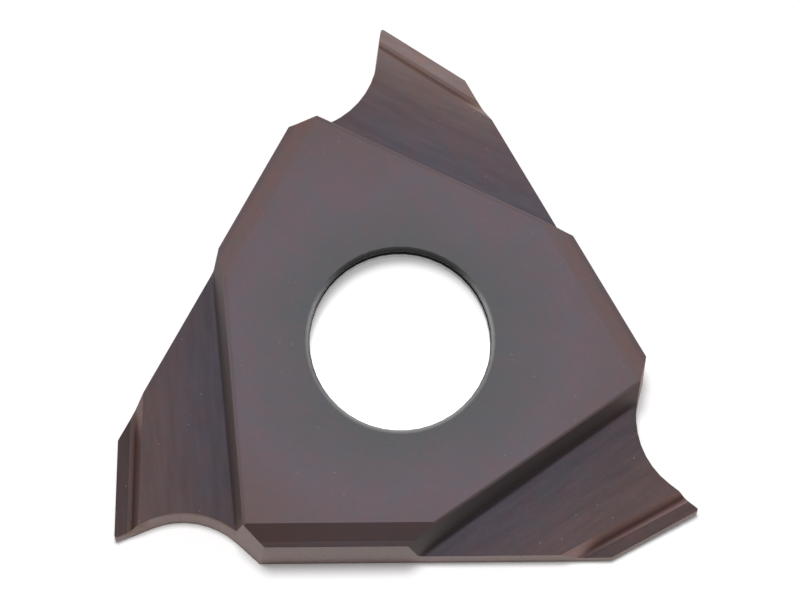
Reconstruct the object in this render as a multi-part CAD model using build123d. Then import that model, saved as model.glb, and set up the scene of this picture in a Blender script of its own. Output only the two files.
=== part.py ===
from build123d import *
import os
from math import cos, hypot, radians, sin, tan

# Stand-up triangular grooving insert in sintered carbide, in millimetres.
# One solid: a triangular body with a tooth at each corner, all alike and turned about
# the screw hole. The origin is on the hole's axis in the exposed face, which is at z = 0.
# +Z points to the seat face. The first tooth points along +Y, with its rake on the left.

# Body
inscribed_circle = 9.525
thickness = 3.18
tooth_count = 3

# Screw hole: a short straight throat at the seat face, then a countersink for the screw's head
hole_diameter = 4.2
hole_throat_length = 0.7
hole_edge_break = 0.1
countersink_angle = 40.0

# Sides of the body: a pressed chamfer and a narrow land below it, down to the ground side
chamfer_width = 0.385
chamfer_height = 0.36
land_width = 0.12
land_height = 0.06

# Tooth in plan, before it is turned to its corner
tip_height = 7.918
tip_offset = -0.345
flank_angle = 32.2
rake_angle = 8.0
rake_pocket_depth = 2.139
rake_arc_radius = 1.90
rake_wall_draft = 1.8
run_out_angle = 43.0
cutting_corner_radius = 0.05

# Step from the seat face down to the tooth
step_distance = 3.974
step_angle = 25.4
step_draft = 5.2
step_edge_radius = 0.1
step_foot_radius = 0.15
tooth_height = 1.21
tooth_relief_angle = 4.1
tooth_fall_angle = 5.0

# Blade: the thin strip along the tooth's flank
blade_top = 0.76
blade_depth = 0.53
blade_relief_angle = 4.0
blade_wall_draft = 20.0
blade_foot_radius = 0.2

# Facet that relieves the blade on the exposed side, deepest at the cutting corner
tip_relief_height = 0.30
heel_relief_height = 0.15
tip_relief_depth = 0.5

# Room that a cutter has outside the insert
cutter_margin = 1.0
cutter_reach = 2 * tip_height

pitch = 360 / tooth_count
side_distance = inscribed_circle / 2
hole_radius = hole_diameter / 2


def heading(angle):
    # unit vector in plan, with its angle counted anticlockwise from +X
    return Vector(cos(radians(angle)), sin(radians(angle)))


def meeting_point(point_a, angle_a, point_b, angle_b):
    # where two straight lines in plan cross, each given by a point and a heading
    along_a = heading(angle_a)
    across_b = heading(angle_b + 90)
    travel = (point_b - point_a).dot(across_b) / along_a.dot(across_b)
    return point_a + along_a * travel


def corner_arc(before, corner, after, radius):
    # arc tangent to the two straight lines that meet in a corner
    towards_before = (before - corner).normalized()
    towards_after = (after - corner).normalized()
    half_angle = towards_before.get_angle(towards_after) / 2
    tangent_length = radius / tan(radians(half_angle))
    bisector = (towards_before + towards_after).normalized()
    centre_distance = radius / sin(radians(half_angle))
    return ThreePointArc(
        corner + towards_before * tangent_length,
        corner + bisector * (centre_distance - radius),
        corner + towards_after * tangent_length,
    )


# The first tooth's own side carries its back, the side before it ends at its front corner.
own_side = 90 - pitch / 2
side_before = 90 + pitch / 2
tip = Vector(tip_offset, tip_height)
heel = meeting_point(tip, -flank_angle, heading(own_side) * side_distance, own_side + 90)
flank_end = meeting_point(tip, -flank_angle, heading(side_before) * side_distance, side_before + 90)
rake_heading = 90 - rake_angle
run_out_heading = side_before - 90 - run_out_angle
elbow = tip - heading(rake_heading) * rake_pocket_depth


def blank():
    # a triangle whose corners are cut off along the flanks, at full thickness
    corners = []
    for tooth in range(tooth_count):
        corners += [flank_end.rotate(Axis.Z, -tooth * pitch), heel.rotate(Axis.Z, -tooth * pitch)]
    return extrude(make_face(Polyline(corners, close=True)), thickness)


def rake_pocket():
    # clears the gap in front of a tooth: the straight rake, an arc behind it and the straight run-out
    run_out_end = elbow - heading(run_out_heading) * cutter_reach
    past_tip = tip + heading(rake_heading) * cutter_reach
    rake_arc = corner_arc(run_out_end, elbow, past_tip, rake_arc_radius)
    outline = [
        Line(run_out_end, rake_arc @ 0),
        rake_arc,
        Line(rake_arc @ 1, past_tip),
        Line(past_tip, run_out_end),
    ]
    return extrude(make_face(Wire(outline)), thickness, taper=-rake_wall_draft)


def groove_section(top_edge, top_level, floor_level, draft, foot_radius, fall_angle):
    # section of a cutter: a drafted wall through the top edge, a round foot and a floor that falls outward
    lean = tan(radians(draft))
    ceiling = thickness + cutter_margin
    above = Vector(top_edge - (ceiling - top_level) * lean, ceiling)
    foot = Vector(top_edge + (top_level - floor_level) * lean, floor_level)
    floor_end = Vector(cutter_reach, floor_level - (cutter_reach - foot.X) * tan(radians(fall_angle)))
    round_foot = corner_arc(above, foot, floor_end, foot_radius)
    section = [
        Line(above, round_foot @ 0),
        round_foot,
        Line(round_foot @ 1, floor_end),
        Line(floor_end, Vector(cutter_reach, ceiling)),
        Line(Vector(cutter_reach, ceiling), above),
    ]
    return make_face(Wire(section))


def sloped_cutter(section, start, outward, relief_angle):
    # a section carried along a straight line that falls away from the rake by the relief angle
    along = heading(outward - 90)
    fall = Vector(along.X, along.Y, -tan(radians(relief_angle)))
    plane = Plane(origin=start, x_dir=heading(outward), z_dir=fall)
    return extrude(plane * section, cutter_reach, both=True)


def tooth_recess():
    # takes the seat face away over the tooth, down to the tooth's own top
    outward = 90 - step_angle
    section = groove_section(0, thickness, tooth_height, step_draft, step_foot_radius, tooth_fall_angle)
    return sloped_cutter(section, heading(outward) * step_distance, outward, tooth_relief_angle)


def blade_recess():
    # thins the tooth along its flank to the blade
    outward = 90 - flank_angle
    along_step = tip.dot(heading(-step_angle))
    past_step = tip.dot(heading(90 - step_angle)) - step_distance
    relief_drop = along_step * tan(radians(tooth_relief_angle))
    fall_drop = past_step * tan(radians(tooth_fall_angle))
    tooth_top = tooth_height - relief_drop - fall_drop
    section = groove_section(-blade_depth, tooth_top, blade_top, blade_wall_draft, blade_foot_radius, 0)
    return sloped_cutter(section, tip, outward, blade_relief_angle)


def tip_relief():
    # wedge under the blade, through the lifted ends of the flank and a point on the rake's foot
    lifted_tip = Vector(tip.X, tip.Y, tip_relief_height)
    lifted_heel = Vector(heel.X, heel.Y, heel_relief_height)
    on_rake = tip - heading(rake_heading) * tip_relief_depth
    facet_normal = (lifted_tip - on_rake).cross(lifted_heel - on_rake)
    plane = Plane(origin=on_rake, x_dir=lifted_heel - on_rake, z_dir=facet_normal)
    return plane * Box(
        cutter_reach, cutter_reach, cutter_margin, align=(Align.CENTER, Align.CENTER, Align.MIN)
    )


def side_chamfer():
    # chamfer and land along one whole side of the body
    top_edge = side_distance - land_width - chamfer_width
    section = Polyline(
        (top_edge - cutter_margin * chamfer_width / chamfer_height, thickness + cutter_margin),
        (side_distance - land_width, thickness - chamfer_height),
        (side_distance, thickness - chamfer_height - land_height),
        (side_distance + cutter_margin, thickness - chamfer_height - land_height),
        (side_distance + cutter_margin, thickness + cutter_margin),
        close=True,
    )
    plane = Plane(origin=(0, 0, 0), x_dir=heading(own_side), z_dir=heading(own_side - 90))
    return extrude(plane * make_face(section), cutter_reach, both=True)


def screw_hole():
    # straight throat with a broken edge at the seat face and a countersink below it
    throat_top = thickness - hole_edge_break
    throat_bottom = throat_top - hole_throat_length
    mouth_radius = hole_radius + throat_bottom * tan(radians(countersink_angle / 2))
    profile = Polyline(
        (0, 0),
        (mouth_radius, 0),
        (hole_radius, throat_bottom),
        (hole_radius, throat_top),
        (hole_radius + hole_edge_break, thickness),
        (0, thickness),
        close=True,
    )
    return revolve(Plane.XZ * make_face(profile), Axis.Z)


def on_cutting_corner(edge, turn):
    # true for the upright edge at one tooth's tip
    middle = edge @ 0.5
    corner = tip.rotate(Axis.Z, turn)
    return hypot(middle.X - corner.X, middle.Y - corner.Y) < thickness * tan(radians(rake_wall_draft))


def on_step_edge(edge, outward):
    # true for an edge of the seat face that runs along one tooth's step
    middle = edge @ 0.5
    level = abs((edge @ 0).Z - thickness) + abs((edge @ 1).Z - thickness)
    off_line = abs(middle.dot(heading(outward)) - step_distance)
    return level < step_edge_radius / 10 and off_line < step_edge_radius


def build_insert():
    insert = blank()
    step_edges = []
    cutting_corners = []
    for tooth in range(tooth_count):
        insert -= Rot(0, 0, -tooth * pitch) * tooth_recess()
    for tooth in range(tooth_count):
        outward = 90 - step_angle - tooth * pitch
        step_edges += [edge for edge in insert.edges() if on_step_edge(edge, outward)]
    insert = fillet(step_edges, step_edge_radius)
    for tooth in range(tooth_count):
        insert -= Rot(0, 0, -tooth * pitch) * rake_pocket()
    for tooth in range(tooth_count):
        cutting_corners += [edge for edge in insert.edges() if on_cutting_corner(edge, -tooth * pitch)]
    insert = fillet(cutting_corners, cutting_corner_radius)
    for tooth in range(tooth_count):
        turn = Rot(0, 0, -tooth * pitch)
        insert -= turn * side_chamfer()
        insert -= turn * blade_recess()
        insert -= turn * tip_relief()
    return insert - screw_hole()


insert = build_insert()
os.makedirs("parts", exist_ok=True)
export_step(insert, "parts/insert.step")
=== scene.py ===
# %% [markdown]
# # A grooving insert in coated carbide
# This lesson dresses one small cutting tool: a triangular insert with a stand-up tooth at each corner.
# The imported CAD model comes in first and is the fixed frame. Its size and place never change here, and
# everything is in metres, so a millimetre is written as 1 * MM.

import bmesh
import bpy
import numpy as np
from mathutils import Matrix, Vector


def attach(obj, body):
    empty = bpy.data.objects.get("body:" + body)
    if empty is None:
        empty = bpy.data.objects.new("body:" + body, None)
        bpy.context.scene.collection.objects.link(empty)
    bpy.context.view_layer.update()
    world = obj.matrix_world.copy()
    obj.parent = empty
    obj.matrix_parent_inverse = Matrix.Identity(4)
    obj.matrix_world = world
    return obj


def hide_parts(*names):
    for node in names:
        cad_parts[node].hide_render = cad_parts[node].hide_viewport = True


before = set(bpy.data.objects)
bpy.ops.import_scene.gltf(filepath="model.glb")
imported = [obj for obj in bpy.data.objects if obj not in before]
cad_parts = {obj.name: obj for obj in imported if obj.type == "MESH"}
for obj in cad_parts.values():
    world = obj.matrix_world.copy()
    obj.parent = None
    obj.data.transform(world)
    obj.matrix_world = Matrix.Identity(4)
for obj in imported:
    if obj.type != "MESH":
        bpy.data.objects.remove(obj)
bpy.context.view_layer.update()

MM = 0.001

# %% [markdown]
# ## The camera
# The insert is seen from almost straight above, through a long lens from 16 cm away, so its upright
# walls show only as narrow bands. The camera's right, up and back axes are written out as the columns
# of its matrix. Angles could be given instead, but three axes don't depend on an order of turns.

# %% Camera
CAMERA_PLACE = (-3.0219 * MM, -26.9931 * MM, 159.8183 * MM)
CAMERA_RIGHT = (0.999789, -0.011012, 0.017354)
CAMERA_UP = (0.007793, 0.984417, 0.175678)
CAMERA_BACK = (-0.019018, -0.175505, 0.984295)
LENS_IN_MM = 309.285
SENSOR_WIDTH_IN_MM = 36.0
NEAREST_SEEN = 10 * MM

camera_data = bpy.data.cameras.new("camera")
camera_data.lens = LENS_IN_MM
camera_data.sensor_width = SENSOR_WIDTH_IN_MM
camera_data.clip_start = NEAREST_SEEN
camera = bpy.data.objects.new("camera", camera_data)
bpy.context.scene.collection.objects.link(camera)
axes = Matrix((CAMERA_RIGHT, CAMERA_UP, CAMERA_BACK)).transposed()
camera.matrix_world = Matrix.Translation(CAMERA_PLACE) @ axes.to_4x4()
bpy.context.scene.camera = camera
print("camera distance in mm:", round(camera.matrix_world.translation.length / MM, 1))

# %% [markdown]
# ## The insert's body
# The body is pressed from powder, sintered and ground, all in one piece. It could be modelled once more
# here, but the CAD mesh already has the exact form, so a copy of it is used. That mesh is loose
# triangles: the copy's corners are welded, and flat neighbours are joined into whole faces, so that
# each real face of the insert is one face of the mesh.

# %% Copy the node's mesh
WELD_DISTANCE = 0.0005 * MM
FLAT_ANGLE = np.radians(0.4)


def welded_copy(node, name):
    """A copy of a CAD node's mesh with its triangles welded and its flat faces made whole."""
    mesh = node.data.copy()
    mesh.name = name
    work = bmesh.new()
    work.from_mesh(mesh)
    bmesh.ops.remove_doubles(work, verts=work.verts, dist=WELD_DISTANCE)
    bmesh.ops.dissolve_limit(
        work, angle_limit=FLAT_ANGLE, verts=work.verts, edges=work.edges, use_dissolve_boundaries=False
    )
    work.to_mesh(mesh)
    work.free()
    mesh.materials.clear()
    piece = bpy.data.objects.new(name, mesh)
    bpy.context.scene.collection.objects.link(piece)
    return piece


insert = welded_copy(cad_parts["insert"], "insert_body")
print("faces of the welded copy:", len(insert.data.polygons))

# %% [markdown]
# ## Marks that follow each tooth
# The floor of each tooth was ground along its step, so its fine lines run in another direction on each
# of the three teeth. One direction per tooth can't come from plain object coordinates. Each face gets
# UV coordinates in its own tooth's frame instead: U runs along the step and V away from it.

# %% UV coordinates in each tooth's frame
TOOTH_COUNT = 3
THIRD = 2 * np.pi / TOOTH_COUNT
STEP_ANGLE = np.radians(25.4)


def nearest_tooth(x, y):
    """Number of the nearest tooth: the angle from +Y, clockwise, over a third of a turn, rounded."""
    return np.round(np.arctan2(x, y) / THIRD)


def turned_back(x, y, turn):
    """Points turned anticlockwise about the hole's axis: x cos - y sin, and x sin + y cos."""
    return x * np.cos(turn) - y * np.sin(turn), x * np.sin(turn) + y * np.cos(turn)


def read_faces(mesh, field):
    """One vector per face, its center or its normal, as an array of rows."""
    values = np.empty(len(mesh.polygons) * 3)
    mesh.polygons.foreach_get(field, values)
    return values.reshape(-1, 3)


def write_tooth_uv(mesh):
    """Stores U and V in millimetres on every face corner.

    Each corner is turned back by as many thirds as its face's tooth is away from the first, and by the
    step's own angle, which lines U up with the step.
    """
    places = np.empty(len(mesh.vertices) * 3)
    mesh.vertices.foreach_get("co", places)
    corner_vertex = np.empty(len(mesh.loops), int)
    mesh.loops.foreach_get("vertex_index", corner_vertex)
    face_sizes = np.empty(len(mesh.polygons), int)
    mesh.polygons.foreach_get("loop_total", face_sizes)
    centre = np.repeat(read_faces(mesh, "center"), face_sizes, axis=0)
    corner = places.reshape(-1, 3)[corner_vertex]
    turn = nearest_tooth(centre[:, 0], centre[:, 1]) * THIRD + STEP_ANGLE
    u, v = turned_back(corner[:, 0], corner[:, 1], turn)
    layer = mesh.uv_layers.new(name="tooth")
    layer.data.foreach_set("uv", (np.stack([u, v], 1) / MM).astype(np.float32).ravel())


for old_layer in list(insert.data.uv_layers):
    insert.data.uv_layers.remove(old_layer)
write_tooth_uv(insert.data)
print("face corners with tooth coordinates:", len(insert.data.loops))

# %% [markdown]
# ## What each face knows about itself
# Walls, blades and floors each take a tone of their own, and the floor, blade and band of each tooth
# are painted lighter or darker, a painted light and shade, since the three teeth are lit unlike each
# other. The steps' walls are marked for painted shade. That could be painted by hand or given as many
# materials. Here each face stores a few numbers, worked out from its slope and its place, and one
# material reads them as attributes.

# %% How steep a face is
HOLE_REACH = 3.0 * MM


def write_faces(mesh, name, values):
    """Stores one number on each face under a name that a material can read."""
    mesh.attributes.new(name, "FLOAT", "FACE").data.foreach_set("value", values.astype(np.float32))


def write_steepness(mesh):
    """Stores on every face how steep it is: 0 lying flat, 1 standing upright.

    The upward part of a face's normal is the cosine of its slope. One minus its size is 0 on a
    flat face and 1 on a wall. The hole has a tone of its own, so its faces count as flat.
    """
    steepness = 1.0 - np.abs(read_faces(mesh, "normal")[:, 2])
    centres = read_faces(mesh, "center")
    steepness[np.hypot(centres[:, 0], centres[:, 1]) < HOLE_REACH] = 0.0
    write_faces(mesh, "steepness", steepness)


write_steepness(insert.data)

# %% Which facet of a tooth a face is
TIP = (-0.345 * MM, 7.918 * MM)
FLANK_ANGLE = np.radians(32.2)
BLADE_DEPTH = 0.53 * MM
BAND_DEPTH = 1.6 * BLADE_DEPTH
STEP_DISTANCE = 3.974 * MM
STEP_REACH = 0.35 * MM
BAND_START = 0.5 * MM
FLANK_MARGIN = 0.01 * MM
OFF_GROUND = 0.4 * MM
STEP_BOTTOM = 1.0 * MM
FLOOR_TOP = 1.6 * MM
LYING = 0.95
LEANING = (0.2, 0.93)
FACING_OUT = 0.9


def find_facets(mesh):
    """Masks of the faces that are a tooth's floor, blade, band at the blade's foot, or step.

    A face's centre is turned back to the first tooth. Its distance from the flank is minus the part of
    (centre - tip) along the flank's outward direction. Its distance past the step is its part square
    to the step, less the step's own. The normal's upward part tells lying faces from leaning ones.
    """
    centres = read_faces(mesh, "center")
    normals = read_faces(mesh, "normal")
    upward = normals[:, 2]
    turn = nearest_tooth(centres[:, 0], centres[:, 1]) * THIRD
    x, y = turned_back(centres[:, 0], centres[:, 1], turn)
    from_flank = -((x - TIP[0]) * np.sin(FLANK_ANGLE) + (y - TIP[1]) * np.cos(FLANK_ANGLE))
    past_step = x * np.sin(STEP_ANGLE) + y * np.cos(STEP_ANGLE) - STEP_DISTANCE
    outward = normals[:, 0] * np.sin(turn + STEP_ANGLE) + normals[:, 1] * np.cos(turn + STEP_ANGLE)
    inside = (from_flank > FLANK_MARGIN) & (centres[:, 2] > OFF_GROUND)
    lying = inside & (upward > LYING)
    leaning = inside & (upward > LEANING[0]) & (upward < LEANING[1])
    near_step = (np.abs(past_step) < STEP_REACH) & (centres[:, 2] > STEP_BOTTOM)
    floor = lying & (centres[:, 2] < FLOOR_TOP) & (past_step > 0)
    blade = lying & (from_flank < BLADE_DEPTH)
    band = leaning & (from_flank < BAND_DEPTH) & (past_step > BAND_START)
    step = near_step & (outward > FACING_OUT)
    return floor, blade, band, step


# %% Painted light and shade of the facets
# painted light and shade per tooth: the three teeth are lit unlike each other
FLOOR_SHADES = (1.08, 0.90, 0.97)
BLADE_SHADES = (1.55, 0.76, 0.63)
BAND_SHADES = (1.25, 1.75, 0.9)


def write_facets(mesh):
    """Stores each face's painted light or shade, one per tooth and facet, and which faces are steps."""
    floor, blade, band, step = find_facets(mesh)
    centres = read_faces(mesh, "center")
    tooth = nearest_tooth(centres[:, 0], centres[:, 1]).astype(int) % TOOTH_COUNT
    shade = np.ones(len(mesh.polygons))
    for facet, shades in ((floor, FLOOR_SHADES), (blade, BLADE_SHADES), (band, BAND_SHADES)):
        shade[facet] = np.array(shades)[tooth[facet]]
    write_faces(mesh, "facet_light_and_shade", shade)
    write_faces(mesh, "step_wall", step)
    print("faces of floors, blades, bands and steps:", floor.sum(), blade.sum(), band.sum(), step.sum())


write_facets(insert.data)

# %% [markdown]
# ## Rounded edges
# No edge of a pressed part is razor-sharp apart from its cutting edges: each is worn round by a few
# hundredths of a millimetre before it is coated, and that small radius catches the light. A shader can
# fake it, but a Bevel modifier makes real faces that the exported model keeps. Weighted Normal then
# keeps the large faces flat, and leaves the change of direction to the narrow new ones.

# %% Round the edges
EDGE_RADIUS = 0.022 * MM
EDGE_ANGLE = np.radians(14.0)
FACE_WEIGHT = 100

bevel = insert.modifiers.new("rounded_edges", "BEVEL")
bevel.width = EDGE_RADIUS
bevel.segments = 2
bevel.limit_method = "ANGLE"
bevel.angle_limit = EDGE_ANGLE
bevel.use_clamp_overlap = True
bevel.miter_outer = "MITER_ARC"
insert.data.polygons.foreach_set("use_smooth", [True] * len(insert.data.polygons))
smooth = insert.modifiers.new("flat_faces_stay_flat", "WEIGHTED_NORMAL")
smooth.weight = FACE_WEIGHT
smooth.keep_sharp = False
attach(insert, "root")
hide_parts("insert")
print("edge radius in mm:", round(EDGE_RADIUS / MM, 3))

# %% [markdown]
# ## Helpers for materials
# A material is a small network of nodes. These helpers add a node and wire it in one line each.

# %% Helpers that add nodes


def add(tree, kind, **settings):
    """A new node with settings given by name, and inputs given as a dictionary called inputs."""
    inputs = settings.pop("inputs", {})
    node = tree.nodes.new(kind)
    for name, value in settings.items():
        setattr(node, name, value)
    for name, value in inputs.items():
        node.inputs[name].default_value = value
    return node


def wire(tree, source, target):
    """Joins an output socket to an input socket."""
    tree.links.new(source, target)


def fill(tree, socket, value):
    """Wires a socket into an input, or sets the input to a number or colour."""
    if isinstance(value, bpy.types.NodeSocket):
        wire(tree, value, socket)
    else:
        socket.default_value = value


def new_group(name, outputs):
    """A node group with named outputs; returns the tree and its output node."""
    tree = bpy.data.node_groups.new(name, "ShaderNodeTree")
    for label, kind in outputs:
        tree.interface.new_socket(label, in_out="OUTPUT", socket_type=kind)
    return tree, tree.nodes.new("NodeGroupOutput")


# %% Helpers that work with values


def math_node(tree, operation, first, second=None):
    """The result of a Math node whose inputs are sockets or numbers."""
    node = add(tree, "ShaderNodeMath", operation=operation)
    fill(tree, node.inputs[0], first)
    if second is not None:
        fill(tree, node.inputs[1], second)
    return node.outputs[0]


def multiply(tree, first, second):
    """The product of two values."""
    return math_node(tree, "MULTIPLY", first, second)


def remap(tree, value, start, end, at_start=0.0, at_end=1.0, smooth=False):
    """A Map Range node: as the value goes from start to end, the result goes between two numbers."""
    ends = {"From Min": start, "From Max": end, "To Min": at_start, "To Max": at_end}
    kind = "SMOOTHSTEP" if smooth else "LINEAR"
    node = add(tree, "ShaderNodeMapRange", interpolation_type=kind, inputs=ends)
    wire(tree, value, node.inputs["Value"])
    return node.outputs["Result"]


def separate(tree, vector):
    """The X, Y and Z of a vector."""
    node = add(tree, "ShaderNodeSeparateXYZ")
    wire(tree, vector, node.inputs[0])
    return node.outputs["X"], node.outputs["Y"], node.outputs["Z"]


def vector_node(tree, operation, first, second):
    """The single number that a Vector Math node gives for a vector and a fixed one."""
    node = add(tree, "ShaderNodeVectorMath", operation=operation)
    wire(tree, first, node.inputs[0])
    node.inputs[1].default_value = second
    return node.outputs["Value"]


# %% Helpers that read and mix
WHITE = (1.0, 1.0, 1.0)


def object_place(tree):
    """Object coordinates, which stay with the piece."""
    return add(tree, "ShaderNodeTexCoord").outputs["Object"]


def tooth_place(tree):
    """The UV coordinates in each tooth's frame."""
    return add(tree, "ShaderNodeUVMap", uv_map="tooth").outputs["UV"]


def face_value(tree, name):
    """The number that each face stores under a name."""
    return add(tree, "ShaderNodeAttribute", attribute_name=name).outputs["Fac"]


def noise(tree, vector, scale, detail, roughness=0.5):
    """Soft noise between 0 and 1; the scale is in blobs per unit of the vector."""
    node = add(tree, "ShaderNodeTexNoise", inputs={"Scale": scale, "Detail": detail, "Roughness": roughness})
    wire(tree, vector, node.inputs["Vector"])
    return node.outputs["Fac"]


def mix_colour(tree, factor, first, second, blend="MIX"):
    """A colour Mix node; its inputs are sockets, numbers or colours."""
    node = add(tree, "ShaderNodeMix", data_type="RGBA", blend_type=blend)
    sockets = {socket.identifier: socket for socket in node.inputs}
    fill(tree, sockets["Factor_Float"], factor)
    for name, value in (("A_Color", first), ("B_Color", second)):
        fill(tree, sockets[name], value if isinstance(value, bpy.types.NodeSocket) else (*value, 1.0))
    return next(socket for socket in node.outputs if socket.identifier == "Result_Color")


def tinted(tree, colour, tint):
    """A colour multiplied by a tint."""
    return mix_colour(tree, 1.0, colour, tint, "MULTIPLY")


# %% [markdown]
# ## The coating's tone
# The hard coating is a few thousandths of a millimetre thick. Its colour comes from light that meets
# itself in that film, so it shifts with the thickness: cool grey round the screw hole, violet further
# out and bronze at the rim. A picture could carry these tones, but a formula stays sharp at any size:
# the distance from the hole, bent a little by cloudy noise, blends three tones. A finer noise on top
# mottles them pink and blue.

# %% Tones of the open film
TONE_AT_HOLE = (0.122, 0.120, 0.126)
TONE_MIDWAY = (0.152, 0.124, 0.141)
TONE_AT_RIM = (0.150, 0.106, 0.104)
TONE_STOPS = (0.27, 0.48, 0.78)
TONE_SPAN = 8.0 * MM
CLOUD_SCALE = 420.0
CLOUD_DRIFT = 2.5 * MM
PINK_MOTTLE = (1.05, 0.985, 0.985)
BLUE_MOTTLE = (0.955, 1.01, 1.04)
MOTTLE_SCALE = 2600.0
MOTTLE_FADE = (0.35, 0.65)


def film_colour(tree, place, distance):
    """Three tones by distance from the hole's axis, with clouds in the distance and mottling on top."""
    clouds = noise(tree, place, CLOUD_SCALE, detail=3.0, roughness=0.55)
    drift = multiply(tree, math_node(tree, "SUBTRACT", clouds, 0.5), CLOUD_DRIFT)
    bent = math_node(tree, "ADD", distance, drift)
    ramp = add(tree, "ShaderNodeValToRGB")
    wire(tree, math_node(tree, "DIVIDE", bent, TONE_SPAN), ramp.inputs["Fac"])
    stops = ramp.color_ramp.elements
    stops.new(TONE_STOPS[1])
    for stop, position, tone in zip(stops, TONE_STOPS, (TONE_AT_HOLE, TONE_MIDWAY, TONE_AT_RIM)):
        stop.position = position
        stop.color = (*tone, 1)
    pink_to_blue = remap(tree, noise(tree, place, MOTTLE_SCALE, detail=2.0), *MOTTLE_FADE)
    return tinted(tree, ramp.outputs["Color"], mix_colour(tree, pink_to_blue, PINK_MOTTLE, BLUE_MOTTLE))


# %% [markdown]
# ## Painted light and shade in the hole
# The hole's broken edge is painted as a paler ring, a painted highlight, with painted shade behind it,
# and its front is made dull so that the pale tone shows there as painted light. Below it the throat is
# painted dark and dull, a painted shade, and its far end is painted light again. They could be four
# materials on picked faces, but those would meet in hard lines. Distance from the axis, height and Y
# tell the places apart, and each fades into the next.

# %% Film tone and hole light group
# the ring's tones are a painted highlight with painted shade behind; the throat's tone is painted shade, and
# the deep tone painted light
RING_PAINTED_LIGHT = (0.530, 0.520, 0.530)
RING_PAINTED_SHADE_BEHIND = (0.115, 0.112, 0.116)
THROAT_PAINTED_SHADE = (0.040, 0.037, 0.038)
DEEP_PAINTED_LIGHT = (0.420, 0.400, 0.405)
RING_FADE = (2.13 * MM, 2.21 * MM)
RING_BEHIND = (0.8 * MM, 1.7 * MM)
RING_IN_FRONT = (-0.8 * MM, -1.7 * MM)
RING_BOTTOM = 3.07 * MM
THROAT_FADE = (2.78 * MM, 2.66 * MM)
RING_FRONT_PAINTED_LIGHT = 0.5


def film_tone_and_hole_light_group():
    """The film's colour all over with the hole's painted light and shade, the mask Rim, for the ring, and a
    mask of where the surface turns dull.
    """
    kinds = (("Color", "NodeSocketColor"), ("Rim", "NodeSocketFloat"), ("Dull_for_light_and_shade", "NodeSocketFloat"))
    tree, out = new_group("film_tone_and_hole_light", kinds)
    place = object_place(tree)
    x, y, z = separate(tree, place)
    distance = math_node(tree, "SQRT", math_node(tree, "ADD", multiply(tree, x, x), multiply(tree, y, y)))
    film = film_colour(tree, place, distance)
    ring = remap(tree, distance, *RING_FADE, 1.0, 0.0)
    # painted highlight on the ring, painted shade on its far side
    ring_light_and_shade = mix_colour(tree, remap(tree, y, *RING_BEHIND), RING_PAINTED_LIGHT, RING_PAINTED_SHADE_BEHIND)
    ringed = mix_colour(tree, ring, film, ring_light_and_shade)
    below_ring = math_node(tree, "LESS_THAN", z, RING_BOTTOM)
    in_hole = multiply(tree, below_ring, math_node(tree, "GREATER_THAN", ring, 0.0))
    # painted shade in the throat, painted light at its far end
    deep = remap(tree, z, *THROAT_FADE)
    wall = mix_colour(tree, deep, THROAT_PAINTED_SHADE, DEEP_PAINTED_LIGHT)
    rim = multiply(tree, ring, math_node(tree, "SUBTRACT", 1.0, below_ring))
    # the front of the ring is made dull, so its pale tone shows as painted light
    painted_light_in_front = multiply(tree, multiply(tree, rim, remap(tree, y, *RING_IN_FRONT)), RING_FRONT_PAINTED_LIGHT)
    in_throat = multiply(tree, in_hole, math_node(tree, "SUBTRACT", 1.0, deep))
    wire(tree, mix_colour(tree, in_hole, ringed, wall), out.inputs["Color"])
    wire(tree, rim, out.inputs["Rim"])
    wire(tree, math_node(tree, "MAXIMUM", in_throat, painted_light_in_front), out.inputs["Dull_for_light_and_shade"])
    return tree


film_tone_and_hole_light = film_tone_and_hole_light_group()
print("nodes in the coating's tone:", len(film_tone_and_hole_light.nodes))

# %% [markdown]
# ## The teeth's tint, with painted shade and light
# The low floors of the teeth are painted darker than the top face, a painted shade of the recesses
# under the steps. The corner of the step is painted darkest and bluish, and the tint turns warmer
# towards the blade; on the first tooth that end is painted lighter, a painted light. Two simple
# readings find the place. Height tells the floor from the top face, and V, the distance from the
# middle of the insert square to the step, tells the corner from the blade. The stored steepness then
# gives chamfers, walls and steps a tint of their own.

# %% Painted shade and light of a tooth's floor
# painted shade on the teeth's floors, bluish in the corner, and painted light on the first tooth's end
TOOTH_CORNER_TINT_AND_SHADE = (0.66, 0.72, 0.79)
TOOTH_BLADE_TINT_AND_SHADE = (0.89, 0.87, 0.88)
FIRST_TOOTH_PAINTED_LIGHT = (1.27, 1.35, 1.29)
LOW_FADE = (1.5 * MM, 2.4 * MM)
FIRST_TOOTH_START = (4.0 * MM, 5.5 * MM)
V_AT_STEP = 3.95
V_TO_BLADE = (4.2, 6.6)
V_OF_LIGHT_END = (5.5, 6.4)


def tooth_floor_light_and_shade(tree, y, v):
    """Painted shade from the corner tint to the blade tint along V. On the first tooth, which has a high y,
    the end gets painted light.
    """
    floor = mix_colour(tree, remap(tree, v, *V_TO_BLADE, smooth=True), TOOTH_CORNER_TINT_AND_SHADE, TOOTH_BLADE_TINT_AND_SHADE)
    light_end = remap(tree, v, *V_OF_LIGHT_END, smooth=True)
    lighter = multiply(tree, remap(tree, y, *FIRST_TOOTH_START), light_end)
    return mix_colour(tree, lighter, floor, tinted(tree, floor, FIRST_TOOTH_PAINTED_LIGHT))


# %% Tooth tone and painted light group
CHAMFER_TINT = (1.15, 1.02, 0.94)
WALL_TINT = (1.01, 0.80, 0.65)
STEP_TINT = (0.99, 1.02, 0.92)
STEEP_ENOUGH = (0.08, 0.25)
UPRIGHT_ENOUGH = (0.5, 0.9)


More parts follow.
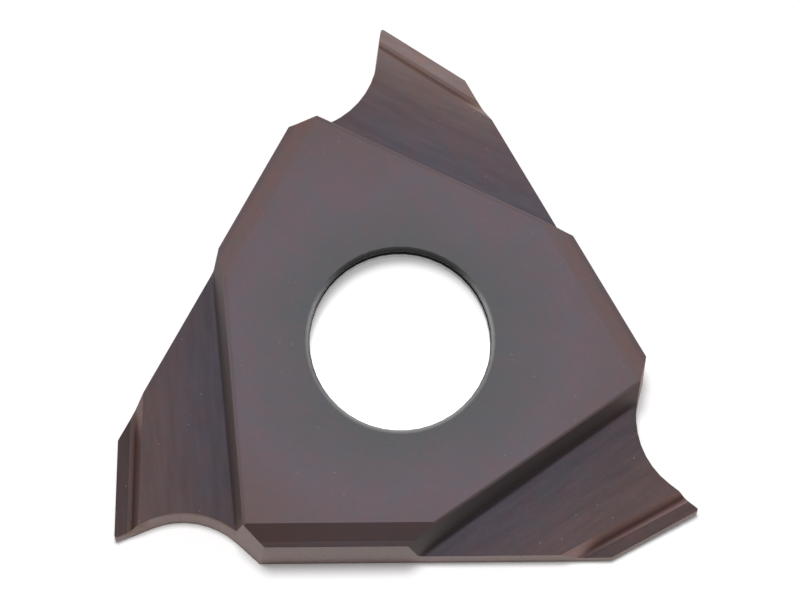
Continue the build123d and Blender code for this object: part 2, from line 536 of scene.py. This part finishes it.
def tooth_tone_and_painted_light_group():
    """A tint to multiply the coating's tone with, holding the teeth's painted light and shade, and a mask of
    the teeth's floors.
    """
    tree, out = new_group("tooth_tone_and_painted_light", (("Tint", "NodeSocketColor"), ("Mask", "NodeSocketFloat")))
    _, y, z = separate(tree, object_place(tree))
    _, v, _ = separate(tree, tooth_place(tree))
    steepness = face_value(tree, "steepness")
    upright = remap(tree, steepness, *UPRIGHT_ENOUGH)
    low = remap(tree, z, *LOW_FADE, 1.0, 0.0, smooth=True)
    past_step = math_node(tree, "GREATER_THAN", v, V_AT_STEP)
    off_ground = math_node(tree, "GREATER_THAN", z, OFF_GROUND)
    over_floor = multiply(tree, low, multiply(tree, past_step, off_ground))
    on_tooth = multiply(tree, over_floor, math_node(tree, "SUBTRACT", 1.0, upright))
    # painted shade and light on the teeth's floors
    floor_tint = mix_colour(tree, on_tooth, WHITE, tooth_floor_light_and_shade(tree, y, v))
    chamfer_tint = mix_colour(tree, remap(tree, steepness, *STEEP_ENOUGH), WHITE, CHAMFER_TINT)
    wall_tint = mix_colour(tree, upright, chamfer_tint, WALL_TINT)
    wall_tint = mix_colour(tree, face_value(tree, "step_wall"), wall_tint, STEP_TINT)
    # each facet's painted light or shade
    shaded = tinted(tree, floor_tint, face_value(tree, "facet_light_and_shade"))
    wire(tree, tinted(tree, shaded, wall_tint), out.inputs["Tint"])
    wire(tree, on_tooth, out.inputs["Mask"])
    return tree


tooth_tone_and_painted_light = tooth_tone_and_painted_light_group()
print("nodes in the teeth's tone:", len(tooth_tone_and_painted_light.nodes))

# %% [markdown]
# ## Grain and grinding lines
# Fine textures lie in the surface. Pressed powder leaves an even grain and a few pale specks, and
# grinding leaves long parallel scratches on the floors of the teeth. Cutting them into the mesh would
# take millions of faces, so they stay in the material. The grain is noise in object coordinates. The
# scratches are such noise read with U halved and V times four, so each blob becomes a long line beside
# the step.

# %% Surface texture group
GRAIN_SCALE = 14000.0
LINE_SCALE = 1.4
LINE_STRETCH = (0.5, 4.0, 1.0)
SPECK_SCALE = 2600.0
SPECK_EDGE = (0.03, 0.07)


def surface_texture_group():
    """Masks between 0 and 1 for the grain, the grinding lines and the specks."""
    names = ("Grain", "Lines", "Specks")
    tree, out = new_group("pressed_and_ground", [(name, "NodeSocketFloat") for name in names])
    place = object_place(tree)
    stretch = add(tree, "ShaderNodeMapping", inputs={"Scale": LINE_STRETCH})
    wire(tree, tooth_place(tree), stretch.inputs["Vector"])
    cells = add(tree, "ShaderNodeTexVoronoi", inputs={"Scale": SPECK_SCALE})
    wire(tree, place, cells.inputs["Vector"])
    grain = noise(tree, place, GRAIN_SCALE, detail=3.0, roughness=0.6)
    lines = noise(tree, stretch.outputs["Vector"], LINE_SCALE, detail=5.0, roughness=0.62)
    wire(tree, grain, out.inputs["Grain"])
    wire(tree, lines, out.inputs["Lines"])
    wire(tree, remap(tree, cells.outputs["Distance"], *SPECK_EDGE, 1.0, 0.0), out.inputs["Specks"])
    return tree


surface_texture = surface_texture_group()
print("nodes in the surface texture:", len(surface_texture.nodes))

# %% [markdown]
# ## The coated carbide
# One material covers the whole insert. The film reflects like a tinted metal, so Metallic is high and
# the tone goes into Base Color. In the hole's throat and on the steps, Metallic goes down and the
# surface turns dull and dark, a painted shade, and at the front of the hole's rim it turns dull to show
# the rim's painted light. The film is matt, and its roughness moves a little with the grain.

# %% Coated carbide material
METALLIC = 0.9
# the steps' walls are made dull and dark: painted shade
STEP_PAINTED_SHADE = 0.75
NOISE_MIDDLE = (0.3, 0.7)
STREAK_CONTRAST = (0.90, 1.10)
SPECK_TONE = (0.30, 0.27, 0.28)
SPECK_STRENGTH = 0.35
ROUGHNESS = (0.42, 0.50)
RIM_POLISH = 0.18
RELIEF_STRENGTH = 0.10
RELIEF_HEIGHT = 0.003 * MM


def carbide_colour(tree, tone, tooth, texture):
    """The coating's tone times the tooth's tint, both with painted light and shade, with streaks on the
    teeth and specks everywhere.
    """
    toned = tinted(tree, tone.outputs["Color"], tooth.outputs["Tint"])
    streak = remap(tree, texture.outputs["Lines"], *NOISE_MIDDLE, *STREAK_CONTRAST)
    streaked = mix_colour(tree, tooth.outputs["Mask"], toned, tinted(tree, toned, streak))
    speck = multiply(tree, texture.outputs["Specks"], SPECK_STRENGTH)
    return mix_colour(tree, speck, streaked, SPECK_TONE)


def coated_carbide():
    """The coating's tone with grain, lines and specks in colour, roughness and height."""
    material = bpy.data.materials.new("coated_carbide")
    material.use_nodes = True
    tree = material.node_tree
    shader = tree.nodes["Principled BSDF"]
    shader.inputs["Specular IOR Level"].default_value = 0.0
    tone = add(tree, "ShaderNodeGroup", node_tree=film_tone_and_hole_light)
    tooth = add(tree, "ShaderNodeGroup", node_tree=tooth_tone_and_painted_light)
    texture = add(tree, "ShaderNodeGroup", node_tree=surface_texture)
    wire(tree, carbide_colour(tree, tone, tooth, texture), shader.inputs["Base Color"])
    # painted shade: the steps' walls lose their shine
    step_painted_shade = multiply(tree, face_value(tree, "step_wall"), STEP_PAINTED_SHADE)
    dull = math_node(tree, "MAXIMUM", tone.outputs["Dull_for_light_and_shade"], step_painted_shade)
    shine = multiply(tree, math_node(tree, "SUBTRACT", 1.0, dull), METALLIC)
    wire(tree, shine, shader.inputs["Metallic"])
    rough = remap(tree, texture.outputs["Grain"], *NOISE_MIDDLE, *ROUGHNESS)
    polish = multiply(tree, tone.outputs["Rim"], RIM_POLISH)
    wire(tree, math_node(tree, "SUBTRACT", rough, polish), shader.inputs["Roughness"])
    scratches = multiply(tree, texture.outputs["Lines"], tooth.outputs["Mask"])
    relief = math_node(tree, "ADD", texture.outputs["Grain"], scratches)
    bump = add(tree, "ShaderNodeBump", inputs={"Strength": RELIEF_STRENGTH, "Distance": RELIEF_HEIGHT})
    wire(tree, relief, bump.inputs["Height"])
    wire(tree, bump.outputs["Normal"], shader.inputs["Normal"])
    return material


insert.data.materials.append(coated_carbide())
print("materials on the insert:", [material.name for material in insert.data.materials])

# %% [markdown]
# ## The white sheet
# The insert lies on white paper. A plane of one face is enough, a hair below the insert so that the two
# surfaces don't share a level, and cut off a little in front of it, so the paper's reflection doesn't
# light the walls there. More light would whiten the paper but bleach the insert. Light Path lets the
# camera alone see the paper a little brighter, which keeps it white and leaves the shadow in it. Light
# reaches the paper in the hole less well, so the lift is stronger there and fades under its far rim.

# %% White sheet material
PAPER_DARK = (0.88, 0.88, 0.88)
PAPER_LIGHT = (0.92, 0.92, 0.92)
PAPER_ROUGHNESS = 0.9
PAPER_GLOSS = 0.1
FIBRE_SCALE = 900.0
HOLE_MIDDLE_SEEN = (0.12 * MM, 0.20 * MM, 0.0)
HOLE_FADE = (2.03 * MM, 2.33 * MM)
LIFT_IN_HOLE = (0.94, 0.34)
SHEET_FADE = (2.5 * MM, 3.5 * MM)
LIFT_OF_SHEET = 0.08


def white_sheet():
    """White paper: a faint fibre pattern in the colour, and a lift for what the camera sees."""
    material = bpy.data.materials.new("white_sheet")
    material.use_nodes = True
    tree = material.node_tree
    shader = tree.nodes["Principled BSDF"]
    place = object_place(tree)
    fibre = noise(tree, place, FIBRE_SCALE, detail=2.0)
    wire(tree, mix_colour(tree, fibre, PAPER_DARK, PAPER_LIGHT), shader.inputs["Base Color"])
    shader.inputs["Roughness"].default_value = PAPER_ROUGHNESS
    shader.inputs["Specular IOR Level"].default_value = PAPER_GLOSS
    shader.inputs["Emission Color"].default_value = (*WHITE, 1)
    distance = vector_node(tree, "DISTANCE", place, HOLE_MIDDLE_SEEN)
    in_hole = remap(tree, distance, *HOLE_FADE, *LIFT_IN_HOLE, smooth=True)
    outside = remap(tree, distance, *SHEET_FADE, 1.0, LIFT_OF_SHEET)
    lift = math_node(tree, "MINIMUM", in_hole, outside)
    camera_ray = add(tree, "ShaderNodeLightPath").outputs["Is Camera Ray"]
    wire(tree, multiply(tree, camera_ray, lift), shader.inputs["Emission Strength"])
    return material


# %% Floor
FLOOR_HALF = 250 * MM
FLOOR_FRONT = -6.4 * MM
FLOOR_LEVEL = -0.005 * MM

floor_corners = [
    (-FLOOR_HALF, FLOOR_FRONT, FLOOR_LEVEL),
    (FLOOR_HALF, FLOOR_FRONT, FLOOR_LEVEL),
    (FLOOR_HALF, FLOOR_HALF, FLOOR_LEVEL),
    (-FLOOR_HALF, FLOOR_HALF, FLOOR_LEVEL),
]
floor_mesh = bpy.data.meshes.new("floor")
floor_mesh.from_pydata(floor_corners, [], [(0, 1, 2, 3)])
floor = bpy.data.objects.new("floor", floor_mesh)
bpy.context.scene.collection.objects.link(floor)
floor.data.materials.append(white_sheet())
print("floor in mm:", [round(v / MM) for v in floor.dimensions])

# %% [markdown]
# ## The lamp
# A small object like this is lit by one soft box almost overhead. A disk lamp stands in for it: its
# width softens the shadow's edge, and its small lean to the back puts the shadow in front. It doesn't
# show in reflections, because the room's glow is the picture of the soft box that the film reflects.

# %% Lamp
LAMP_PLACE = (-9 * MM, 16 * MM, 320 * MM)
LAMP_WIDTH = 50 * MM
LAMP_WATTS = 0.90

lamp_data = bpy.data.lights.new("overhead_lamp", "AREA")
lamp_data.shape = "DISK"
lamp_data.size = LAMP_WIDTH
lamp_data.energy = LAMP_WATTS
lamp = bpy.data.objects.new("overhead_lamp", lamp_data)
bpy.context.scene.collection.objects.link(lamp)
lamp.location = LAMP_PLACE
lamp.visible_glossy = False
lamp.rotation_euler = (-Vector(LAMP_PLACE)).to_track_quat("-Z", "Y").to_euler()
print("lamp distance in mm:", round(Vector(LAMP_PLACE).length / MM))

# %% [markdown]
# ## The studio room
# A matt metal shows what surrounds it, so the room matters more than the lamp: white walls, a dark card
# low in front, and the glow of the soft box above. An image of a studio could be used, but three soft
# shapes say which part of the room lights which face. The world's strength is worked out from the
# direction. Its soft light is turned down, so that the lamp's shadow stays clear, and the camera sees
# plain white. The room is smooth, so it needs no sampling map of its bright places.

# %% World
ROOM_LEVEL = 0.86
CARD_LEVEL = 0.17
CARD_FRONT = (-0.9, -0.1)
CARD_TOP = (0.25, 0.70)
GLOW_DIRECTION = (0.20, -0.04, 0.979)
GLOW_EDGE = (0.90, 0.995)
GLOW_LEVEL = 0.60
SOFT_LIGHT_SHARE = 0.25

world = bpy.data.worlds.new("studio_room")
bpy.context.scene.world = world
world.use_nodes = True
room = world.node_tree
background = room.nodes["Background"]
background.inputs["Color"].default_value = (*WHITE, 1)
direction = add(room, "ShaderNodeTexCoord").outputs["Generated"]
_, backward, upward = separate(room, direction)
in_front = remap(room, backward, *CARD_FRONT, 1.0, 0.0, smooth=True)
low_down = remap(room, upward, *CARD_TOP, 1.0, 0.0, smooth=True)
level = remap(room, multiply(room, in_front, low_down), 0.0, 1.0, ROOM_LEVEL, CARD_LEVEL)
toward_glow = vector_node(room, "DOT_PRODUCT", direction, GLOW_DIRECTION)
glow = remap(room, toward_glow, *GLOW_EDGE, 0.0, GLOW_LEVEL, smooth=True)
path = add(room, "ShaderNodeLightPath")
share = remap(room, path.outputs["Is Glossy Ray"], 0.0, 1.0, SOFT_LIGHT_SHARE, 1.0)
lit = multiply(room, math_node(room, "ADD", level, glow), share)
seen = math_node(room, "MAXIMUM", lit, path.outputs["Is Camera Ray"])
wire(room, seen, background.inputs["Strength"])
world.cycles.sampling_method = "NONE"
print("nodes in the room:", len(room.nodes))

# %% [markdown]
# ## Picture settings
# The Standard view shows colours as they are written.

# %% Finish
bpy.context.scene.view_settings.view_transform = "Standard"
